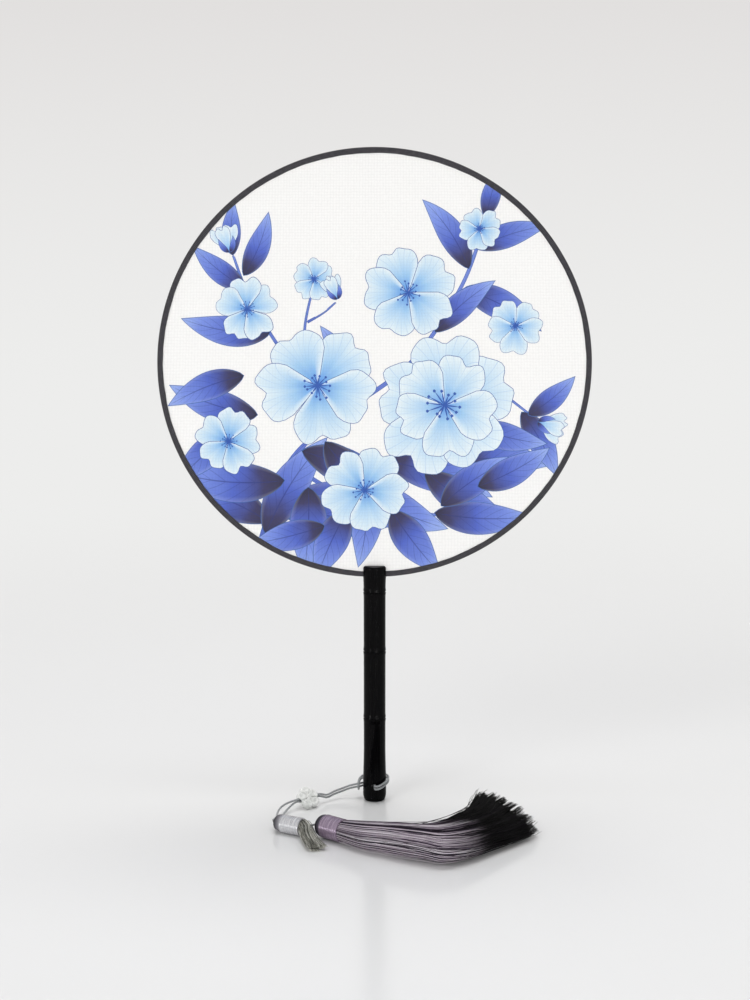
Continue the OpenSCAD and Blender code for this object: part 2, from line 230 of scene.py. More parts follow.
# The routes of part.scad, in millimetres
holeZ, pitch = 10, 1.8
legRoute = [(-9.5, 3.4, -2), (-6.8, 5.2, -1.6), (-4.4, 7.3, -1), (-2.4, 9, -0.4), (-0.6, 9.9, 0),
            (0.8, 9.2, 0), (0.7, 7.4, 0), (0.2, 4.5, 0), (0, 0, 0), (0, -4.5, 0), (0.2, -7.4, 0),
            (1.2, -9.1, 0.2), (3.2, -9, 0.7), (5.6, -7.3, 1.6), (7.5, -4.4, 2.5), (8.5, -1, 3.2),
            (8.3, 2.4, 3.5), (6.9, 5.5, 3.5), (4.4, 7.9, 3.5), (1.2, 9.1, 3.5), (-2.2, 8.9, 3.5),
            (-5, 7.6, 3.3)]
bightIn = [(-7.6, 7, 3), (-9.4, 6.4, 1.2)]
bightOut = [(-9.6, 1.2, 0.6), (-8.9, 3, 1.8), (-7.3, 5.3, 2.3)]
bightAt, bightR, bightHeading = Vector((-10, 3.4, 8)), 2.5, 182
strandA = [(-10.5, 3.4, 8.9), (-15, 3.4, 7.9), (-20, 2.2, 6.4), (-25, -0.6, 5.3),
           (-29.5, -5.2, 4.6), (-34.2, -9.2, 6.4), (-41, -15, 6.4), (-47.8, -20.8, 6.4),
           (-51.2, -23.2, 6.1), (-54.6, -26.2, 5.4), (-57, -30, 4.7), (-58.4, -35, 4.2),
           (-58.9, -41.5, 4.3), (-59, -48.6, 5), (-59.9, -54, 5.7), (-60.6, -57.9, 6.3)]
strandB = [(-10.5, 3.4, 7.1), (-15, 3.4, 6.1), (-20, 2.2, 4.6), (-25, -0.6, 3.5),
           (-29.5, -5.2, 2.9), (-34.2, -9.2, 5), (-41, -15, 5), (-47.8, -20.8, 5),
           (-50.4, -23.2, 4.1), (-52.6, -26.4, 2.9), (-54.4, -31, 2.2), (-55.4, -36.8, 2.3),
           (-56, -43, 2.8), (-56.7, -49, 3.8), (-58.1, -54.2, 4.8), (-59.4, -57.7, 5.2)]


def leg(level):
    return [Vector(p) + Vector((0, 0, holeZ + level * pitch / 2)) for p in legRoute]


def raised(points):
    return [Vector(p) + Vector((0, 0, holeZ)) for p in points]


bight = [bightAt + bightR * (math.sin(math.radians(a)) * plan(bightHeading - 90)
                             + math.cos(math.radians(a)) * Vector((0, 0, 1))) for a in range(75, 286, 35)]
loopRoute = leg(1) + raised(bightIn) + bight + raised(bightOut) + list(reversed(leg(-1)))

for name, route, node, body, farEnd, leaves in (
        ("footLoop", loopRoute, "foot_loop", "fan", "object", (0, 7, 10)),
        ("strandUpper", strandA, "cord_strand_a", "cord", "knot", strandA[0]),
        ("strandLower", strandB, "cord_strand_b", "cord", "knot", strandB[0])):
    path = evenly(catmull(route, 8), 0.3)
    piece = twistedMesh(name, path, twistedCord)
    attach(piece, body)
    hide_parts(node)
print("cords laid")


# Tassel heads

headLead, neckPast = 0.4, 0.5
upperHead = {"pivot": (-59.6, -59.5, 5.7), "heading": -31, "diameter": 10.6, "dome": 5.4, "band": 13.5}
lowerHead = {"pivot": (-33.6, -68.7, 7.4), "heading": -40, "diameter": 13.8, "dome": 5.6, "band": 13.6}
bandProud, bandT, glueGap = 0.15, 0.5, 0.05


def satinWinding(name, colour, dark, light):
    # satin thread wound by hand: the colour paints its own line of highlight and shade on each turn
    material, tree, shader = newMaterial(name, Roughness=0.24, Specular_IOR_Level=0.8, Metallic=0.35)
    place = addNode(tree, "ShaderNodeTexCoord")
    stretch = addNode(tree, "ShaderNodeMapping", {"Scale": (2.0, 60.0, 1.0)}, {"Vector": place.outputs["UV"]})
    turns = noiseNode(tree, stretch.outputs["Vector"], Scale=1.0, Detail=4.0, Roughness=0.7)
    tone = rampNode(tree, turns.outputs["Fac"], [(0.28, dark), (0.46, colour), (0.68, light)])
    tree.links.new(tone.outputs["Color"], shader.inputs["Base Color"])
    joinBump(tree, shader, turns.outputs["Fac"], 0.0001, 0.4)
    return material


# the dark and light stops are painted shade and painted highlight
silverWinding = satinWinding("woundSatinSilverPaintedSheen", "#b4b4b8", "#5e5e63", "#f0f0f1")
lilacWinding = satinWinding("woundSatinLilacPaintedSheen", "#7f6d82", "#33263a", "#bfafc2")


def spun(name, head, profile, ripple, material, count, offset=0.0):
    # a form turned round the head's axis; ripple gives the thread relief
    top = Vector(head["pivot"]) + (headLead + offset) * plan(head["heading"])
    axis, side = plan(head["heading"]), plan(head["heading"] + 90)
    up = Vector((0, 0, 1))
    rings, uvs = [], []
    total = profile[-1][1] - profile[0][1] or 1
    for r, x in profile:
        ring = []
        for k in range(count):
            a = 2 * math.pi * k / count
            radius = max(0.01, r + ripple(a, x, r))
            ring.append((top + x * axis + radius * (math.cos(a) * side + math.sin(a) * up)) * mm)
            uvs.append((k / count, (x - profile[0][1]) / total))
        rings.append(ring)
    verts, faces = skinRings(rings)
    return makeObject(name, verts, faces, [material], uvs)


def buildBand(name, head, material, node, body):
    windingPitch = 0.36  # mm between turns
    outR = head["diameter"] / 2 + bandProud
    start, end = head["dome"], head["dome"] + head["band"]
    steps = round(head["band"] / windingPitch * 5)
    profile = [(outR - bandT, start), (outR - 0.32, start + 0.01), (outR - 0.1, start + 0.1)]
    profile += [(outR, start + 0.2 + (head["band"] - 0.4) * k / steps) for k in range(steps + 1)]
    profile += [(outR - 0.1, end - 0.1), (outR - 0.32, end - 0.01), (outR - bandT, end)]

    def ripple(a, x, r):
        if r < outR:
            return 0
        wave = abs(math.sin(math.pi * (x / windingPitch - a / (2 * math.pi))))
        return 0.1 * (wave - 1) + 0.03 * math.sin(x * 1.7 + 2 * a)
    band = spun(name, head, profile, ripple, material, 72)
    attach(band, body)
    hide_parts(node)
    return band


buildBand("upperBand", upperHead, silverWinding, "upper_band", "upper_tassel")
buildBand("lowerBand", lowerHead, lilacWinding, "lower_band", "lower_tassel")
print("bands wound")


# Knots: a small tight trefoil of cord

# tightly pulled, so it looks matt; its near-black tones are painted shade on the silver-grey cord
knotPaintedShade, tree, shader = newMaterial("tiedCordPaintedShade", Roughness=0.55, Sheen_Weight=0.2)
place = addNode(tree, "ShaderNodeTexCoord")
grain = noiseNode(tree, place.outputs["Object"], Scale=3500.0, Detail=2.0)
tone = rampNode(tree, grain.outputs["Fac"], [(0.35, "#1d1c20"), (0.7, "#4a494f")])
tree.links.new(tone.outputs["Color"], shader.inputs["Base Color"])
joinBump(tree, shader, grain.outputs["Fac"], 0.00008, 0.6)

for name, head, node, body in (("upperKnot", upperHead, "upper_knot", "upper_tassel"),
                               ("lowerKnot", lowerHead, "lower_knot", "lower_tassel")):
    loop = []
    for k in range(73):
        t = 2 * math.pi * k / 72
        loop.append(Vector(head["pivot"]) + 0.33 * Vector((math.sin(t) + 2 * math.sin(2 * t),
                                                           math.cos(t) - 2 * math.cos(2 * t),
                                                           -1.3 * math.sin(3 * t))))
    rings = [[(p + 0.5 * (math.cos(2 * math.pi * k / 8) * s + math.sin(2 * math.pi * k / 8) * u)) * mm
              for k in range(8)] for p, s, u in pathFrames(loop)]
    knot = makeObject(name, *skinRings(rings), [knotPaintedShade])
    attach(knot, body)
    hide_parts(node)

linkRoute = [Vector(upperHead["pivot"]) + 1.55 * plan(-31), Vector(upperHead["pivot"]) + 9.7 * plan(-31),
             Vector(upperHead["pivot"]) + 17.8 * plan(-31), (-40.6, -69.6, 6), (-38, -69.2, 6.6),
             (-35.6, -68.8, 7.1)]
link = twistedMesh("linkCord", evenly(catmull(linkRoute, 8), 0.3), twistedCord)
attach(link, "upper_tassel")
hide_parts("link_cord")
print("knots tied")


# Yarn: many fine viscose threads over a dark filling

def yarnMaterial(name, paleStops, deepStops):
    # satin viscose thread: one tone per thread, which paints long unbroken lines of highlight and shade
    material, tree, shader = newMaterial(name, Roughness=0.42, Specular_IOR_Level=0.06)
    place = addNode(tree, "ShaderNodeTexCoord")
    parts = addNode(tree, "ShaderNodeSeparateXYZ", None, {"Vector": place.outputs["UV"]})
    pale = rampNode(tree, parts.outputs["Y"], paleStops)
    deep = rampNode(tree, parts.outputs["Y"], deepStops)
    dye = addNode(tree, "ShaderNodeMix", {"data_type": "RGBA"},
                  {0: parts.outputs["X"], 6: pale.outputs["Color"], 7: deep.outputs["Color"]})
    tree.links.new(dye.outputs[2], shader.inputs["Base Color"])
    fuzz = noiseNode(tree, place.outputs["Object"], Scale=5000.0, Detail=1.0)
    joinBump(tree, shader, fuzz.outputs["Fac"], 0.00005, 0.4)
    return material


# each yarn's pale stops run from painted shade to painted highlight; the deep stops hold the dipped dye
greyYarn = yarnMaterial("satinYarnGreyGreenPaintedSheen",
                        [(0.0, "#4a4a46"), (0.3, "#95948b"), (0.7, "#bab9b0"), (1.0, "#ebeae3")],
                        [(0.0, "#4b504c"), (1.0, "#a9aea7")])
lilacYarn = yarnMaterial("satinYarnLilacDippedBlackPaintedSheen",
                         [(0.0, "#17121a"), (0.2, "#453b49"), (0.4, "#978b97"), (0.72, "#c2b7c1"),
                          (1.0, "#eee9ee")],
                         [(0.0, "#020202"), (0.7, "#060507"), (1.0, "#141116")])
# the domes take darker copies of the yarns: painted shade on the blunt head ends, darkest at the tip
upperDomePaintedShade = yarnMaterial("satinYarnGreyFoldPaintedShade", [(0.0, "#2c2b2f"), (0.5, "#77757b"), (1.0, "#b5b3b8")],
                        [(0.0, "#2c2b2f"), (1.0, "#77757b")])
lowerDomePaintedShade = yarnMaterial("satinYarnLilacFoldPaintedShade", [(0.0, "#17151a"), (0.5, "#37343c"), (1.0, "#6a6670")],
                        [(0.0, "#17151a"), (1.0, "#37343c")])

upperSkirt = [((-38.8, -67.8, 5.9), (-44.4, -75.6, 5.3), 9.8), ((-36.8, -71.4, 5.4), (-43.6, -78, 4.5), 9),
              ((-35.8, -76.2, 4.6), (-43.4, -80.8, 3.6), 7.2), ((-33.8, -82.2, 3.6), (-42.6, -84.4, 2.9), 5.6),
              ((-31.2, -88.4, 2.6), (-41.2, -89.6, 2.3), 4.2), ((-29, -94, 2.1), (-39.6, -94.8, 2.1), 3.4)]
lowerSkirt = [((-2, -85.5, 8.4), (-9.5, -100, 8.4), 16), ((7.5, -90, 9.2), (2.5, -107.5, 9.2), 17.5),
              ((17, -92.5, 9.8), (15, -115.5, 9.8), 18.8), ((26, -93.5, 10.6), (27.5, -122, 9.8), 19.4),
              ((34, -90.5, 11.9), (39.5, -127, 8.7), 19.4), ((41, -84.5, 13.2), (51, -121.5, 7.3), 18.8),
              ((46.5, -77.5, 14.1), (61, -112, 6.1), 17.8), ((51.5, -70.5, 14.8), (70, -102, 5.2), 16.8),
              ((56, -62, 15.8), (79.5, -92, 4.4), 15.8), ((58.5, -54, 17), (86.5, -83.5, 3.8), 15),
              ((60.5, -47.5, 17.8), (93, -76, 3.3), 14)]


def headSections(head):
    # two round sections across the neck, then the skirt follows
    neckD = head["diameter"] + 2 * (bandProud - bandT - glueGap)
    reach = head["dome"] + head["band"] + neckPast
    out = []
    for distance, d in ((reach - 3, neckD - 1), (reach, neckD - 0.6)):
        p = Vector(head["pivot"]) + (headLead + distance) * plan(head["heading"])
        across = d / 2 * plan(head["heading"] + 90)
        out.append((p + across, p - across, d))
    return out


def sectionFrames(sections, perSpan):
    centres = [(Vector(a) + Vector(b)) / 2 for a, b, _ in sections]
    rows = []
    for i, (a, b, thick) in enumerate(sections):
        direction = (centres[min(i + 1, len(centres) - 1)] - centres[max(i - 1, 0)]).normalized()
        half = (Vector(a) - Vector(b)) / 2
        rows.append((centres[i], half, thick / 2 * direction.cross(half).normalized(), direction))
    columns = [catmull([row[k] for row in rows], perSpan) for k in range(4)]
    return list(zip(*columns))


def buildYarn(name, sections, look, material):
    rng = random.Random(look["seed"])
    frames = sectionFrames(sections, 5)
    last = len(frames) - 1
    sides, lowest, turnShare = 4, 0.45, 0.6180340  # mm above the floor; golden share, so no two threads line up
    clumps = [(rng.random(), rng.random() < look["paintedShadeShare"]) for _ in range(look["clumps"])]
    locks = [(rng.uniform(-1, 1), Vector((rng.uniform(-1, 1), rng.uniform(-1, 1), rng.uniform(-0.6, 1))))
             for _ in range(look["ends"])]  # at the cut end the threads stand in small locks
    verts, faces, uvs = [], [], []

    def addTube(points, radius, dye, tone):
        base = len(verts)
        for i, (p, s, u) in enumerate(pathFrames(points)):
            r = radius * (0.55 if i == len(points) - 1 else 1)
            for k in range(sides):
                a = 2 * math.pi * k / sides
                verts.append((p + r * (math.cos(a) * s + math.sin(a) * u)) * mm)
                uvs.append((dye[i], tone))
        faces.extend(tubeFaces(base, len(points), sides))
        faces.append(tuple(base + (len(points) - 1) * sides + k for k in range(sides)))

    for j in range(look["threads"]):
        stray = j < look["strays"]
        rho = rng.uniform(1.0, 1.1) if stray else math.sqrt(rng.uniform(0.55, 1.0)) * 0.97
        phi = 2 * math.pi * ((j * turnShare) % 1) + rng.uniform(-0.02, 0.02)  # even cover all round
        waves = [(rng.uniform(0.2, 1.1), rng.uniform(0, 6.3), rng.uniform(-1, 1)) for _ in range(3)]
        lockTrim, lockSplay = locks[int(phi / (2 * math.pi) * look["ends"]) % look["ends"]]
        trim = look["uneven"] * (0.75 * lockTrim + 0.35 * rng.uniform(-1, 0.6))
        loose = Vector((rng.uniform(-1, 1), rng.uniform(-1, 1), rng.uniform(-0.6, 1)))
        splay = (0.8 * lockSplay + (1.0 if stray else 0.25) * loose) * look["splay"]
        jitter = rng.uniform(-1, 1)
        wander = look["wander"] * (2.2 if stray else 1)
        # threads lie in small plies of one tone: pale plies are painted highlight, dark plies painted shade
        lead, dark = clumps[int(phi / (2 * math.pi) * look["clumps"]) % look["clumps"]]
        if dark:
            tone = rng.uniform(0, 0.16)
        else:
            tone = min(1.0, max(0.0, lead ** look["toneBias"] + rng.uniform(-0.15, 0.15)))
        points, dye = [], []
        for i, (centre, half, tall, direction) in enumerate(frames):
            t = i / last
            swing = sum(w * math.sin(f * i * 0.45 + p) for f, p, w in waves) * wander * min(1, t * 3)
            a = phi + swing * 0.5
            r = rho + swing * 0.12 * (0 if rho > 0.96 and not stray else 1)
            r = min(r, 1.12 if stray else 1.0)
            p = centre + r * (math.cos(a) * half + math.sin(a) * tall)
            p = p + splay * max(0, t - 0.75) ** 2 * 16
            p.z = max(p.z, lowest)
            points.append(p)
            # dipped dye: the far edge and the top darken first
            start = look["dyeFrom"] - look["dyeEdge"] * max(0, math.cos(a)) + 0.035 * jitter
            x = (t - start) / look["dyeSpan"]
            dye.append(min(1.0, max(0.0, x)))
        tip = look["tip"] * (0.45 + 0.3 * math.sin(phi) ** 2 - 0.3 * math.cos(phi)) + trim
        if tip > 0:
            points.append(points[-1] + tip * frames[-1][3] + splay * 0.4)
            dye.append(dye[-1])
            points[-1].z = max(points[-1].z, lowest)
        addTube(points, look["threadD"] / 2 * rng.uniform(0.85, 1.1), dye, tone)
    base = len(verts)  # the filling keeps light from passing between the threads; its dark tone is painted shade of the inner threads
    ringSides, fillShare, fillLowest, fillPaintedShadeTone = 20, 0.84, 0.5, 0.12
    for i, (centre, half, tall, direction) in enumerate(frames):
        t = i / last
        for k in range(ringSides):
            a = 2 * math.pi * k / ringSides
            p = centre + fillShare * (math.cos(a) * half + math.sin(a) * tall)
            p.z = max(p.z, fillLowest)
            verts.append(p * mm)
            x = (t - look["dyeFrom"] + look["dyeEdge"] * max(0, math.cos(a))) / look["dyeSpan"]
            uvs.append((min(1, max(0, x)), fillPaintedShadeTone))
    faces.extend(tubeFaces(base, last + 1, ringSides))
    faces.append(tuple(base + last * ringSides + k for k in range(ringSides)))
    return makeObject(name, verts, faces, [material], uvs)


def buildDome(name, head, material):
    # yarn folded over the bead: threads run from the top out over the shoulder, in a darker copy of the yarn that
    # paints the end's shade
    domeR, length = head["diameter"] / 2 - bandProud, head["dome"]
    mouth = 1.6
    profile = [(0.2, 1.0), (1.2, 0.6), (mouth, 0.05)]
    profile += [(mouth + (domeR - mouth) * math.sin(math.radians(a)),
                 length * 0.8 * (1 - math.cos(math.radians(a))))
                for a in range(8, 91, 8)]
    profile += [(domeR, length - 0.3), (domeR, length + 0.4)]

    def ripple(a, x, r):
        return 0.16 * (abs(math.sin(26 * a)) - 1) * min(1, r / 3) + 0.05 * math.sin(5 * a + x)
    return spun(name, head, profile, ripple, material, 208)


tailLook = {"threads": 1300, "strays": 26, "threadD": 0.36, "clumps": 230, "ends": 90, "wander": 0.05,
            "uneven": 2.2, "splay": 1.0, "tip": 9,
            "dyeFrom": 0.52, "dyeEdge": 0.27, "dyeSpan": 0.19, "paintedShadeShare": 0.33, "toneBias": 0.7, "seed": 11}
skirtLook = {"threads": 300, "strays": 16, "threadD": 0.34, "clumps": 90, "ends": 40, "wander": 0.16,
             "uneven": 2.4, "splay": 1.0, "tip": 2.5,
             "dyeFrom": 2.0, "dyeEdge": 0.0, "dyeSpan": 1.0, "paintedShadeShare": 0.1, "toneBias": 0.9, "seed": 5}

for name, head, skirt, look, material, domePaintedShadeYarn, node, body, slotName in (
        ("lowerTail", lowerHead, lowerSkirt, tailLook, lilacYarn, lowerDomePaintedShade, "lower_yarn", "lower_tassel",
         "lilac_grey_yarn"),
        ("upperSkirt", upperHead, upperSkirt, skirtLook, greyYarn, upperDomePaintedShade, "upper_yarn", "upper_tassel",
         "grey_yarn")):
    tail = buildYarn(name, headSections(head) + skirt, look, material)
    dome = buildDome(name + "Dome", head, domePaintedShadeYarn)
    for piece in (tail, dome):
        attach(piece, body)
        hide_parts(node)
print("yarn combed")


# Bead: carved pale jade flower, polished

beadLook = {"at": (-41, -15, 5.7), "heading": 220.5, "tilt": 42, "diameter": 14.8, "thickness": 4.6,
            "petals": 5, "bore": 3.0}

jade, tree, shader = newMaterial("polishedPaleJade", Roughness=0.12, Coat_Weight=0.4, Coat_Roughness=0.05,
                                 IOR=1.6)
place = addNode(tree, "ShaderNodeTexCoord")
cloud = noiseNode(tree, place.outputs["Object"], Scale=220.0, Detail=4.0)
tone = rampNode(tree, cloud.outputs["Fac"], [(0.3, "#dfe2de"), (0.55, "#f1f2ef"), (0.85, "#fcfcfb")])
tree.links.new(tone.outputs["Color"], shader.inputs["Base Color"])
joinBump(tree, shader, cloud.outputs["Fac"], 0.0001, 0.15)


def buildBead():
    petalR = beadLook["diameter"] * 0.235
    centreR = beadLook["diameter"] / 2 - petalR
    edge = beadLook["thickness"] / 2
    around, outwards = 150, 16
    place = (Matrix.Translation(Vector(beadLook["at"]) * mm)
             @ Matrix.Rotation(math.radians(beadLook["heading"] - 180), 4, "Z")
             @ Matrix.Rotation(math.radians(beadLook["tilt"]), 4, "X"))
    rings = []
    for side in (1, -1):
        steps = range(1, outwards + 1) if side > 0 else range(outwards, 0, -1)
        for i in steps:
            s = i / outwards
            if side < 0 and i == outwards:
                continue
            ring = []
            for k in range(around):
                a = 2 * math.pi * k / around
                d = (a - math.pi / 2) % (2 * math.pi / beadLook["petals"])
                d = min(d, 2 * math.pi / beadLook["petals"] - d)
                rim = centreR * math.cos(d) + math.sqrt(max(0, petalR ** 2 - (centreR * math.sin(d)) ** 2))
                r = rim * math.sin(s * math.pi / 2)
                height = edge * math.sqrt(max(0, 1 - s ** 6))
                # valley between petals
                valley = math.exp(-((d - math.pi / beadLook["petals"]) / 0.1) ** 2)
                height -= 2.2 * valley * min(1, s * 2) * (1 - s)
                # hollow of each petal
                height -= 0.75 * math.exp(-((r - 5.0) / 1.1) ** 2) * math.exp(-(d / 0.3) ** 2)
                # raised middle
                height += 0.12 * math.exp(-((r - 1.2) / 0.6) ** 2) - 0.5 * math.exp(-((r - 2.2) / 0.5) ** 2)
                ring.append(Vector((r * math.cos(a), r * math.sin(a), side * max(height, 0.0))) * mm)
            rings.append(ring)
    verts, faces = skinRings(rings)
    bead = makeObject("flowerBead", verts, faces, [jade])
    cutter = bmesh.new()
    bmesh.ops.create_cone(cutter, cap_ends=True, segments=32, radius1=beadLook["bore"] / 2 * mm,
                          radius2=beadLook["bore"] / 2 * mm, depth=0.04,
                          matrix=Matrix.Rotation(math.pi / 2, 4, "Y"))
    mesh = bpy.data.meshes.new("boreCutter")
    cutter.to_mesh(mesh)
    cutter.free()
    drill = bpy.data.objects.new("boreCutter", mesh)
    bpy.context.scene.collection.objects.link(drill)
    cut = bead.modifiers.new("bore", "BOOLEAN")
    cut.object, cut.solver = drill, "EXACT"
    bpy.context.view_layer.update()
    drilled = bpy.data.meshes.new_from_object(bead.evaluated_get(bpy.context.evaluated_depsgraph_get()))
    bead.modifiers.clear()
    bead.data = drilled
    bpy.data.objects.remove(drill)
    bead.data.transform(place)
    return bead


bead = buildBead()
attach(bead, "bead")
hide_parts("flower_bead")
print("bead carved")


# Hoop: black tape, silk and its print

hoopLook = {"radius": 130.0, "innerRadius": 126.6, "centreZ": 272.05, "front": -1.7, "back": 1.5, "tape": 0.35}

# dull black cotton, a little dusty on its threads
wovenTape, tree, shader = newMaterial("wovenCottonTape", Roughness=0.8, Sheen_Weight=0.2)
place = addNode(tree, "ShaderNodeTexCoord")
ribs = addNode(tree, "ShaderNodeTexWave", {"Scale": 520.0, "Distortion": 1.5, "bands_direction": "DIAGONAL"},
               {"Vector": place.outputs["Object"]})  # twill line about 0.6 mm
wear = noiseNode(tree, place.outputs["Object"], Scale=500.0, Detail=3.0)
blend = addNode(tree, "ShaderNodeMix", {"data_type": "FLOAT", 0: 0.5},
                {2: ribs.outputs["Fac"], 3: wear.outputs["Fac"]})
tone = rampNode(tree, blend.outputs[0], [(0.2, "#1b1a1e"), (0.55, "#323035"), (0.9, "#4d4a50")])
tree.links.new(tone.outputs["Color"], shader.inputs["Base Color"])
joinBump(tree, shader, blend.outputs[0], 0.0001, 0.5)


def buildTape():
    rO, rI, yF, yB, t = (hoopLook[k] for k in ("radius", "innerRadius", "front", "back", "tape"))
    soft = 0.5
    outline = [(rI, yF + 0.1), (rI + 0.1, yF)]
    outline += [(rO - soft + soft * math.sin(math.radians(a)),
                 yF + soft * (1 - math.cos(math.radians(a)))) for a in range(0, 91, 15)]
    outline += [(rO - soft + soft * math.cos(math.radians(a)),
                 yB - soft * (1 - math.sin(math.radians(a)))) for a in range(0, 91, 15)]
    outline += [(rI + 0.1, yB), (rI, yB - 0.1), (rI, yB - t + 0.05), (rI + 0.05, yB - t), (rO - t, yB - t),
                (rO - t, yF + t),
                (rI + 0.05, yF + t), (rI, yF + t - 0.05)]
    rings = []
    for k in range(480):
        a = 2 * math.pi * k / 480
        ring = []
        for r, y in outline:
            lip = max(0, (rI + 1.2 - r) / 1.2)
            # a hand-folded edge wanders
            r2 = r + lip * (0.12 * math.sin(23 * a) * math.sin(7 * a + 1) + 0.05 * math.sin(71 * a))
            ring.append(Vector((r2 * math.sin(a), y, hoopLook["centreZ"] + r2 * math.cos(a))) * mm)
        rings.append(ring)
    rings.append(rings[0])
    verts, faces = skinRings(rings, capped=False)
    tape = makeObject("edgeTape", verts, faces, [wovenTape])
    work = bmesh.new()
    work.from_mesh(tape.data)
    bmesh.ops.remove_doubles(work, verts=work.verts, dist=1e-7)
    bmesh.ops.recalc_face_normals(work, faces=work.faces)
    work.to_mesh(tape.data)
    work.free()
    return tape


tape = buildTape()
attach(tape, "fan")
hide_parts("edge_binding")


def wovenSilk(tree, shader, depth):
    # threads 0.9 mm apart: real silk has 0.25 mm, drawn coarser so that it shows
    place = addNode(tree, "ShaderNodeTexCoord")
    warp = addNode(tree, "ShaderNodeTexWave", {"Scale": 350.0, "Distortion": 1.2, "Detail": 2.0,
                                               "bands_direction": "X"},
                   {"Vector": place.outputs["Object"]})
    weft = addNode(tree, "ShaderNodeTexWave", {"Scale": 350.0, "Distortion": 1.2, "Detail": 2.0,
                                               "bands_direction": "Z"},
                   {"Vector": place.outputs["Object"]})
    slub = noiseNode(tree, place.outputs["Object"], Scale=700.0, Detail=3.0)
    cross = mathNode(tree, "MULTIPLY", warp.outputs["Fac"], weft.outputs["Fac"])
    height = mathNode(tree, "MULTIPLY_ADD", slub.outputs["Fac"], 0.45, cross.outputs[0])
    joinBump(tree, shader, height.outputs[0], 0.0001, depth)
    return height.outputs[0]


# painted shade: the colour darkens in the low parts of the weave
def paintWeaveShade(tree, colour, height, low="#ececec"):
    ramp = rampNode(tree, height, [(0.2, low), (0.8, "#ffffff")])
    mix = addNode(tree, "ShaderNodeMix", {"data_type": "RGBA", "blend_type": "MULTIPLY", 0: 1.0},
                  {6: colour, 7: ramp.outputs["Color"]})
    return mix.outputs[2]


# thin raw silk: soft, even white with slubs
silk, tree, shader = newMaterial("plainWovenSilk", Roughness=0.6, Sheen_Weight=0.25)
height = wovenSilk(tree, shader, 0.35)
white = addNode(tree, "ShaderNodeRGB")
white.outputs[0].default_value = colourOf("#fdfcfa")
tree.links.new(paintWeaveShade(tree, white.outputs[0], height), shader.inputs["Base Color"])


def printMaterial(name, stops, lineColour, veins, rim):
    # dye printed in the silk: matt, soft in tone, with fine drawn lines
    material, tree, shader = newMaterial(name, Roughness=0.62, Sheen_Weight=0.2)
    place = addNode(tree, "ShaderNodeTexCoord")
    parts = addNode(tree, "ShaderNodeSeparateXYZ", None, {"Vector": place.outputs["UV"]})
    cloud = noiseNode(tree, place.outputs["Object"], Scale=60.0, Detail=3.0)
    shift = mathNode(tree, "MULTIPLY_ADD", cloud.outputs["Fac"], 0.24, -0.12)
    wash = mathNode(tree, "ADD", parts.outputs["X"], shift.outputs[0])
    base = rampNode(tree, wash.outputs[0], stops)
    across = mathNode(tree, "MULTIPLY_ADD", parts.outputs["Y"], 2.0, -1.0)
    aside = mathNode(tree, "ABSOLUTE", across.outputs[0])
    if veins == "leaf":
        slant = mathNode(tree, "MULTIPLY", aside.outputs[0], -2.0)
        phase = mathNode(tree, "MULTIPLY_ADD", parts.outputs["X"], 8.0, slant.outputs[0])
        width = 0.05
    else:
        spread = mathNode(tree, "MULTIPLY_ADD", parts.outputs["X"], 0.6, 0.4)
        phase = mathNode(tree, "DIVIDE", across.outputs[0], spread.outputs[0])
        phase = mathNode(tree, "MULTIPLY", phase.outputs[0], 5.0)
        width = 0.045
    fold = mathNode(tree, "PINGPONG", phase.outputs[0], 0.5)
    line = addNode(tree, "ShaderNodeMapRange",
                   {"From Min": 0.0, "From Max": width, "To Min": 0.55, "To Max": 0.0},
                   {"Value": fold.outputs[0]})
    rib = addNode(tree, "ShaderNodeMapRange", {"From Min": 0.0, "From Max": 0.05,
                                               "To Min": 0.8 if veins == "leaf" else 0.0, "To Max": 0.0},
                  {"Value": aside.outputs[0]})
    either = mathNode(tree, "MAXIMUM", line.outputs[0], rib.outputs[0])
    drawn = addNode(tree, "ShaderNodeMix", {"data_type": "RGBA", 7: colourOf(lineColour)},
                    {0: either.outputs[0], 6: base.outputs["Color"]})
    bleach = addNode(tree, "ShaderNodeMapRange",
                     {"From Min": 0.72, "From Max": 1.0, "To Min": 0.0, "To Max": rim},
                     {"Value": aside.outputs[0]})
    edged = addNode(tree, "ShaderNodeMix", {"data_type": "RGBA", 7: colourOf("#eef7fd")},
                    {0: bleach.outputs[0], 6: drawn.outputs[2]})
    height = wovenSilk(tree, shader, 0.3)
    tree.links.new(paintWeaveShade(tree, edged.outputs[2], height), shader.inputs["Base Color"])
    return material


petalDye = printMaterial("silkDyedPaleBlue", [(0.0, "#3f7fd6"), (0.16, "#6faaea"), (0.42, "#a4cff3"),
                                              (0.75, "#cfe7f8"), (1.0, "#e9f5fb")],
                         "#86b6e6", "petal", 0.6)
leafDye = printMaterial("silkDyedCobalt", [(0.0, "#1e1a30"), (0.18, "#33305e"), (0.42, "#4a62c6"),
                                           (0.75, "#7790e4"), (1.0, "#a0b8f2")],
                        "#1c2a78", "leaf", 0.12)
lineDye, tree, shader = newMaterial("silkDyedLine", Roughness=0.65)  # drawn outline, a dense mid blue
height = wovenSilk(tree, shader, 0.3)
ink = addNode(tree, "ShaderNodeRGB")
ink.outputs[0].default_value = colourOf("#3a64ab")
tree.links.new(paintWeaveShade(tree, ink.outputs[0], height), shader.inputs["Base Color"])

# fine drawn stamens
stamenDye, tree, shader = newMaterial("silkDyedStamen", Roughness=0.65, Base_Color=colourOf("#2f58b0"))
wovenSilk(tree, shader, 0.3)

printLook = {"edge": 127.4, "layer": 0.012, "line": 0.34}
shapes = []  # each is rows of points in the fan's plane, with its material and its outline


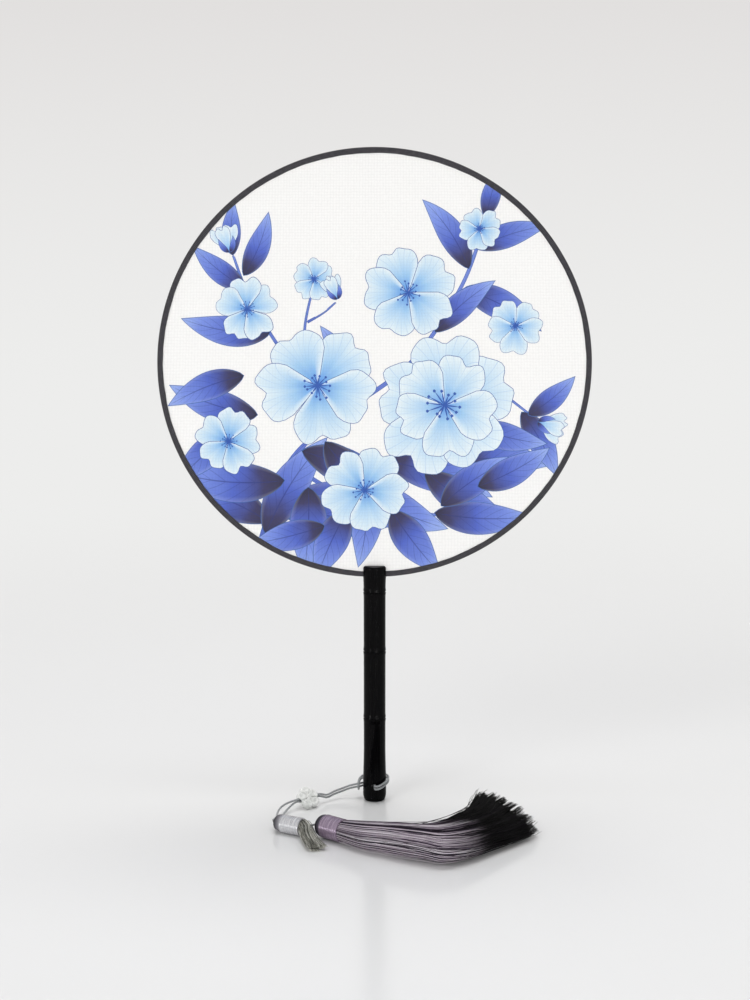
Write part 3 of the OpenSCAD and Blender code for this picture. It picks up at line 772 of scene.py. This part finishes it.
def leafShape(x, z, angle, length, width, bend=0.0, material=1):
    rows = []
    alongSteps, acrossSteps = 26, 12
    for i in range(alongSteps + 1):
        s = i / alongSteps
        heading = math.radians(angle + bend * s)
        middle = math.radians(angle + bend * s / 2)
        cx, cz = x + length * s * math.cos(middle), z + length * s * math.sin(middle)
        half = width / 2 * math.sin(math.pi * s ** 0.8) ** 0.9 if 0 < s < 1 else 0
        row = []
        for k in range(acrossSteps + 1):
            v = 2 * k / acrossSteps - 1
            row.append((cx - v * half * math.sin(heading), cz + v * half * math.cos(heading), s,
                        k / acrossSteps))
        rows.append(row)
    reach = max(math.hypot(p[0] - x, p[1] - z) for row in rows for p in row)
    shapes.append({"rows": rows, "material": material, "at": (x, z), "reach": reach})


def petalShape(x, z, angle, radius, spread, seed, lift=0.0):
    # a broad petal with a shallow notch, drawn as a fan of points from its base
    rng = random.Random(seed)
    phase = [rng.uniform(0, 6.3) for _ in range(3)]
    out, across = 18, 24
    rows = []
    for i in range(out + 1):
        s = i / out
        row = []
        for k in range(across + 1):
            v = 2 * k / across - 1
            edge = max(0.0, 1 - abs(v) ** 3.2) ** 0.42
            reach = radius * (0.16 + 0.84 * edge) * (1 - 0.13 * math.exp(-(v / 0.16) ** 2))
            reach *= 1 + 0.028 * math.sin(6 * v + phase[0]) + 0.016 * math.sin(13 * v + phase[1])
            # sides bow outwards, so a petal is narrow at its base
            a = math.radians(angle + spread * v * (0.62 + 0.38 * s) + 5 * s * math.sin(phase[2]))
            row.append((x + reach * s * math.cos(a), z + reach * s * math.sin(a), min(1, s + lift), k / across))
        rows.append(row)
    shapes.append({"rows": rows, "material": 0, "at": (x, z), "reach": radius * 1.05})


def blossom(x, z, radius, turn, seed, tiers=1, count=5):
    rng = random.Random(seed)
    for tier in range(tiers):
        size = radius * (1, 0.74, 0.5)[tier]
        for k in range(count):
            petalShape(x, z, turn + 360 / count * k + 180 / count * tier + rng.uniform(-4, 4),
                       size * rng.uniform(0.94, 1.05),
                       232 / count, seed + 7 * k + 50 * tier, lift=(0.0, 0.06, 0.12)[tier])
    for k in range(14):  # stamens with their dots
        a = math.radians(turn + 360 / 14 * k + rng.uniform(-6, 6))
        long = radius * rng.uniform(0.15, 0.26)
        leafShape(x, z, math.degrees(a), long, max(0.5, radius * 0.02), material=3)
        leafShape(x + long * math.cos(a) - radius * 0.022, z + long * math.sin(a), 0, radius * 0.045,
                  radius * 0.045, material=3)


def bud(x, z, angle, size, seed):
    for k, lean in enumerate((-16, 16, 0)):
        petalShape(x, z, angle + lean, size * (1 if lean else 0.94), 26, seed + k, lift=0.1)
    for lean in (-50, 50):
        leafShape(x, z, angle + lean, size * 0.6, size * 0.2, bend=-lean)


def stem(points, width):
    path = catmull([Vector((p[0], 0, p[1])) for p in points], 10)
    rows = []
    for i, p in enumerate(path):
        direction = (path[min(i + 1, len(path) - 1)] - path[max(i - 1, 0)]).normalized()
        half = width / 2 * (1 - 0.5 * i / len(path))
        rows.append([(p.x - v * half * direction.z, p.z + v * half * direction.x, 0.45 + 0.3 * (i / len(path)),
                      0.5 + v * 0.3) for v in (-1, 0, 1)])
    shapes.append({"rows": rows, "material": 1, "at": (path[0].x, path[0].z), "reach": 400})


# A garland of plain five-petalled blossoms and long leaves, rising from the lower left to the upper right
stem([(-70, -110), (-52, -60), (-20, -30), (22, 2), (52, 48), (66, 88)], 3.2)
stem([(-20, -30), (-52, 4), (-74, 40), (-84, 66)], 2.2)
stem([(22, 2), (62, -8), (94, -30)], 2.0)
stem([(-52, -60), (-10, -84), (40, -92)], 2.6)
stem([(-34, -12), (-42, 18), (-36, 50)], 1.8)
stem([(-40, 26), (-30, 32), (-23, 38)], 1.4)
for x, z, angle, length, width, bend in (
        (-64, -96, 145, 62, 20, 30), (-60, -90, 15, 74, 24, -26), (-58, -84, -20, 70, 22, 24), (-66, -104, 70, 66, 20, -24),
        (-54, -70, 188, 66, 22, -26), (-44, -52, -16, 62, 20, -22), (-30, -46, -56, 70, 22, 30), (-6, -66, -82, 54, 18, -24),
        (-20, -70, -34, 66, 22, 18), (6, -58, -10, 64, 20, -18), (30, -64, -42, 58, 18, 22), (50, -58, 8, 52, 18, -22),
        (-70, -30, 172, 52, 17, -22), (-78, -6, 192, 46, 15, 20), (-62, 20, 184, 50, 16, -26), (-76, 46, 150, 38, 12, -18),
        (-78, 54, 56, 38, 12, 24), (-84, 66, 98, 30, 10, -20), (52, 46, -16, 50, 16, -24), (56, 58, 110, 46, 14, 28),
        (60, 70, 28, 42, 13, -20), (66, 88, 82, 30, 10, -16), (88, -28, -52, 42, 14, -18), (92, -30, 30, 34, 12, 20),
        (36, 20, 52, 44, 14, -22), (-8, -24, 106, 50, 15, 22), (-40, -74, -88, 50, 20, -10), (-16, -88, -120, 44, 18, 12),
        (10, -88, -60, 46, 18, 14), (36, -90, -12, 56, 18, 20), (40, -86, 44, 50, 17, -20), (62, -74, 20, 46, 16, 18),
        (-84, -40, 214, 46, 16, 16), (-30, -98, 200, 44, 16, -12), (58, -36, -24, 44, 15, 20)):
    leafShape(x, z, angle, length * 1.08, width * 1.14, bend)
blossom(42, -24, 43, 20, 3, tiers=2)
blossom(-34, -12, 36, 52, 21)
blossom(20, 44, 29, 34, 44)
blossom(-6, -76, 27, 66, 61)
blossom(-76, 34, 19, 22, 77)
blossom(84, 24, 17, 52, 90)
blossom(-88, -46, 20, 4, 101)
blossom(62, 82, 13, 44, 113)
blossom(-36, 52, 13, 10, 118)
bud(-86, 68, 104, 17, 120)
bud(98, -34, -18, 18, 130)
bud(-22, 40, 112, 15, 140)


def buildPrint(name, side, depth0):
    layers = []
    verts, faces, uvs, faceMaterials = [], [], [], []
    for index, shape in enumerate(shapes):
        level = 0
        for other, otherLevel in layers:
            gap = math.hypot(other["at"][0] - shape["at"][0], other["at"][1] - shape["at"][1])
            if gap < other["reach"] + shape["reach"]:
                level = max(level, otherLevel + 1)
        layers.append((shape, level))
    deepest = max(level for _, level in layers)
    step = min(printLook["layer"], 0.34 / (deepest + 1))

    def put(x, z, level):
        r = math.hypot(x, z)
        if r > printLook["edge"]:
            x, z = x * printLook["edge"] / r, z * printLook["edge"] / r
        verts.append(Vector((x, depth0 + side * (level + 1) * step, z + hoopLook["centreZ"])) * mm)

    for shape, level in layers:
        rows = shape["rows"]
        base, n = len(verts), len(rows[0])
        for row in rows:
            for x, z, u, v in row:
                put(x, z, level)
                uvs.append((u, v))
        for i in range(len(rows) - 1):
            for k in range(n - 1):
                quad = (base + i * n + k, base + i * n + k + 1, base + (i + 1) * n + k + 1,
                        base + (i + 1) * n + k)
                faces.append(quad if side < 0 else tuple(reversed(quad)))
                faceMaterials.append(shape["material"])
        if shape["material"] > 1:
            continue
        border = ([row[0] for row in rows] + rows[-1][1:] + [row[-1] for row in rows[-2::-1]])
        base = len(verts)
        cx = sum(p[0] for p in border) / len(border)
        cz = sum(p[1] for p in border) / len(border)
        width = printLook["line"] * (1.0 if shape["reach"] > 20 else 0.7)
        for i, (x, z, u, v) in enumerate(border):
            ahead, behind = border[min(i + 1, len(border) - 1)], border[max(i - 1, 0)]
            dx, dz = ahead[0] - behind[0], ahead[1] - behind[1]
            size = math.hypot(dx, dz) or 1
            nx, nz = -dz / size, dx / size
            if (cx - x) * nx + (cz - z) * nz < 0:
                nx, nz = -nx, -nz
            put(x, z, level + 0.5)
            put(x + nx * width, z + nz * width, level + 0.5)
            uvs.extend([(0.5, 0.5), (0.5, 0.5)])
        for i in range(len(border) - 1):
            faces.append((base + 2 * i, base + 2 * i + 1, base + 2 * i + 3, base + 2 * i + 2))
            faceMaterials.append(2)
    return makeObject(name, verts, faces, [petalDye, leafDye, lineDye, stamenDye], uvs, faceMaterials,
                      smooth=False)


def buildSilk():
    # one sheet stretched flat, with a fine grid
    verts, faces = [Vector((0, -1.2, hoopLook["centreZ"])) * mm], []
    ringCount, around = 40, 180
    for i in range(1, ringCount + 1):
        r = 129.2 * i / ringCount
        for k in range(around):
            a = 2 * math.pi * k / around
            verts.append(Vector((r * math.sin(a), -1.2, hoopLook["centreZ"] + r * math.cos(a))) * mm)
    for k in range(around):
        faces.append((0, 1 + k, 1 + (k + 1) % around))
    for i in range(ringCount - 1):
        for k in range(around):
            a, b = 1 + i * around + k, 1 + i * around + (k + 1) % around
            faces.append((a, a + around, b + around, b))
    return makeObject("silkFace", verts, faces, [silk])


face = buildSilk()
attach(face, "fan")
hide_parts("silk_panel")
printFront = buildPrint("silkPrintFront", -1, -1.21)
printBack = buildPrint("silkPrintBack", 1, -1.19)
for piece in (printFront, printBack):
    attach(piece, "fan")
print("silk stretched and printed")


# Handle, strip and pins

# deep black under a clear brushed gloss
lacquer, tree, shader = newMaterial("blackLacquer", Roughness=0.3, Specular_IOR_Level=0.02, Coat_Weight=0.08,
                                    Coat_Roughness=0.03)
place = addNode(tree, "ShaderNodeTexCoord")
longway = addNode(tree, "ShaderNodeMapping", {"Scale": (1.0, 1.0, 0.08)}, {"Vector": place.outputs["Object"]})
brush = noiseNode(tree, longway.outputs["Vector"], Scale=900.0, Detail=4.0)
tone = rampNode(tree, brush.outputs["Fac"], [(0.35, "#030304"), (0.7, "#080708"), (0.95, "#120d0c")])
tree.links.new(tone.outputs["Color"], shader.inputs["Base Color"])
gloss = addNode(tree, "ShaderNodeMapRange", {"To Min": 0.12, "To Max": 0.3}, {"Value": brush.outputs["Fac"]})
tree.links.new(gloss.outputs[0], shader.inputs["Roughness"])
joinBump(tree, shader, brush.outputs["Fac"], 0.00006, 0.25)

bamboo, tree, shader = newMaterial("splitBamboo", Roughness=0.5)  # pale straw with long dark fibres
place = addNode(tree, "ShaderNodeTexCoord")
fibres = noiseNode(tree, place.outputs["Object"], Scale=700.0, Detail=5.0, Distortion=0.4)
tone = rampNode(tree, fibres.outputs["Fac"], [(0.3, "#9c7c4c"), (0.55, "#cfae78"), (0.85, "#e4cc9e")])
tree.links.new(tone.outputs["Color"], shader.inputs["Base Color"])
joinBump(tree, shader, fibres.outputs["Fac"], 0.0001, 0.4)

for node, material in (("handle", lacquer), ("hoop_core", bamboo), ("hoop_pins", bamboo),
                       ("upper_core", bamboo), ("lower_core", bamboo)):
    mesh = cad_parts[node].data
    mesh.materials.clear()
    mesh.materials.append(material)
print("handle lacquered")


# Studio: pale sweep, soft lights

studio = {"floorColour": "#f2f2f2", "highGlowColour": "#e2e0df", "lowGlowColour": "#ededec", "skyStrength": 0.4,
          "keyPower": 8.0, "fillPower": 2.4,
          "topPower": 19.8, "rightStripPower": 5.5, "leftStripPower": 3.5}

sweepPaper, tree, shader = newMaterial("sealedStudioFloor", Roughness=0.17, Specular_IOR_Level=0.6)
shader.inputs["Base Color"].default_value = colourOf(studio["floorColour"])
place = addNode(tree, "ShaderNodeTexCoord")
parts = addNode(tree, "ShaderNodeSeparateXYZ", None, {"Vector": place.outputs["Object"]})
outward = addNode(tree, "ShaderNodeVectorMath", {"operation": "LENGTH"}, {0: place.outputs["Object"]})
far = addNode(tree, "ShaderNodeMapRange", {"interpolation_type": "SMOOTHSTEP", "From Min": 0.25,
                                           "From Max": 0.9},
              {"Value": outward.outputs["Value"]})
share = mathNode(tree, "MULTIPLY", far.outputs[0], seenRays(tree))
# painted light falloff: far from the fan the floor and backdrop glow, a little darker going up
glowFalloff = rampNode(tree, parts.outputs["Z"], [(0.0, studio["lowGlowColour"]), (0.4, studio["highGlowColour"])])
plainGlow = addNode(tree, "ShaderNodeEmission", None, {"Color": glowFalloff.outputs["Color"]})
mixed = addNode(tree, "ShaderNodeMixShader", None,
                {0: share.outputs[0], 1: shader.outputs[0], 2: plainGlow.outputs[0]})
tree.links.new(mixed.outputs[0], tree.nodes["Material Output"].inputs["Surface"])

profile = [(-14.0, 0.0), (-3.0, 0.0), (-1.0, 0.0), (0.6, 0.0), (1.4, 0.0)]
profile += [(1.4 + 2.4 * math.sin(math.radians(a)), 2.4 * (1 - math.cos(math.radians(a))))
            for a in range(5, 91, 5)]
profile += [(3.8, 7.0)]
verts, faces = [], []
for y, z in profile:
    verts.extend([Vector((-14, y, z)), Vector((14, y, z))])
for i in range(len(profile) - 1):
    faces.append((2 * i, 2 * i + 1, 2 * i + 3, 2 * i + 2))
sweep = makeObject("studioSweep", verts, faces, [sweepPaper])

world = bpy.data.worlds.new("studioAir")
world.use_nodes = True
air = world.node_tree.nodes["Background"]
air.inputs["Strength"].default_value = studio["skyStrength"]
seenAir = addNode(world.node_tree, "ShaderNodeBackground",
                  {"Color": colourOf(studio["lowGlowColour"]), "Strength": 1.0})
air.inputs["Color"].default_value = colourOf("#ffffff")
both = addNode(world.node_tree, "ShaderNodeMixShader", None,
               {0: seenRays(world.node_tree), 1: air.outputs[0], 2: seenAir.outputs[0]})
world.node_tree.links.new(both.outputs[0], world.node_tree.nodes["World Output"].inputs["Surface"])
bpy.context.scene.world = world

lamps = (("keyLight", (-1.1, -1.5, 1.7), (0, 0, 0.2), 0.8, studio["keyPower"]),
         ("fillLight", (1.5, -1.2, 0.9), (0, 0, 0.2), 1.2, studio["fillPower"]),
         ("topLight", (0.1, 0.3, 1.9), (0, 0, 0), 1.3, studio["topPower"]),
         ("rightStrip", (0.5, -1.35, 0.1), (0, 0, 0.12), 0.8, studio["rightStripPower"]),
         ("leftStrip", (-1.05, -1.0, 0.1), (0, 0, 0.12), 0.4, studio["leftStripPower"]))
for name, place, aim, size, power in lamps:
    lamp = bpy.data.lights.new(name, "AREA")
    lamp.size, lamp.energy = size, power
    if "Strip" in name:  # long and low, for short glints above the node rings
        lamp.shape, lamp.size_y = "RECTANGLE", 0.04
    light = bpy.data.objects.new(name, lamp)
    light.location = place
    light.visible_camera = False  # no bright panel stands in another view
    light.visible_glossy = "Strip" in name  # and none but the strips is mirrored in the floor
    light.rotation_euler = (Vector(aim) - Vector(place)).to_track_quat("-Z", "Y").to_euler()
    bpy.context.scene.collection.objects.link(light)
print("studio lit")
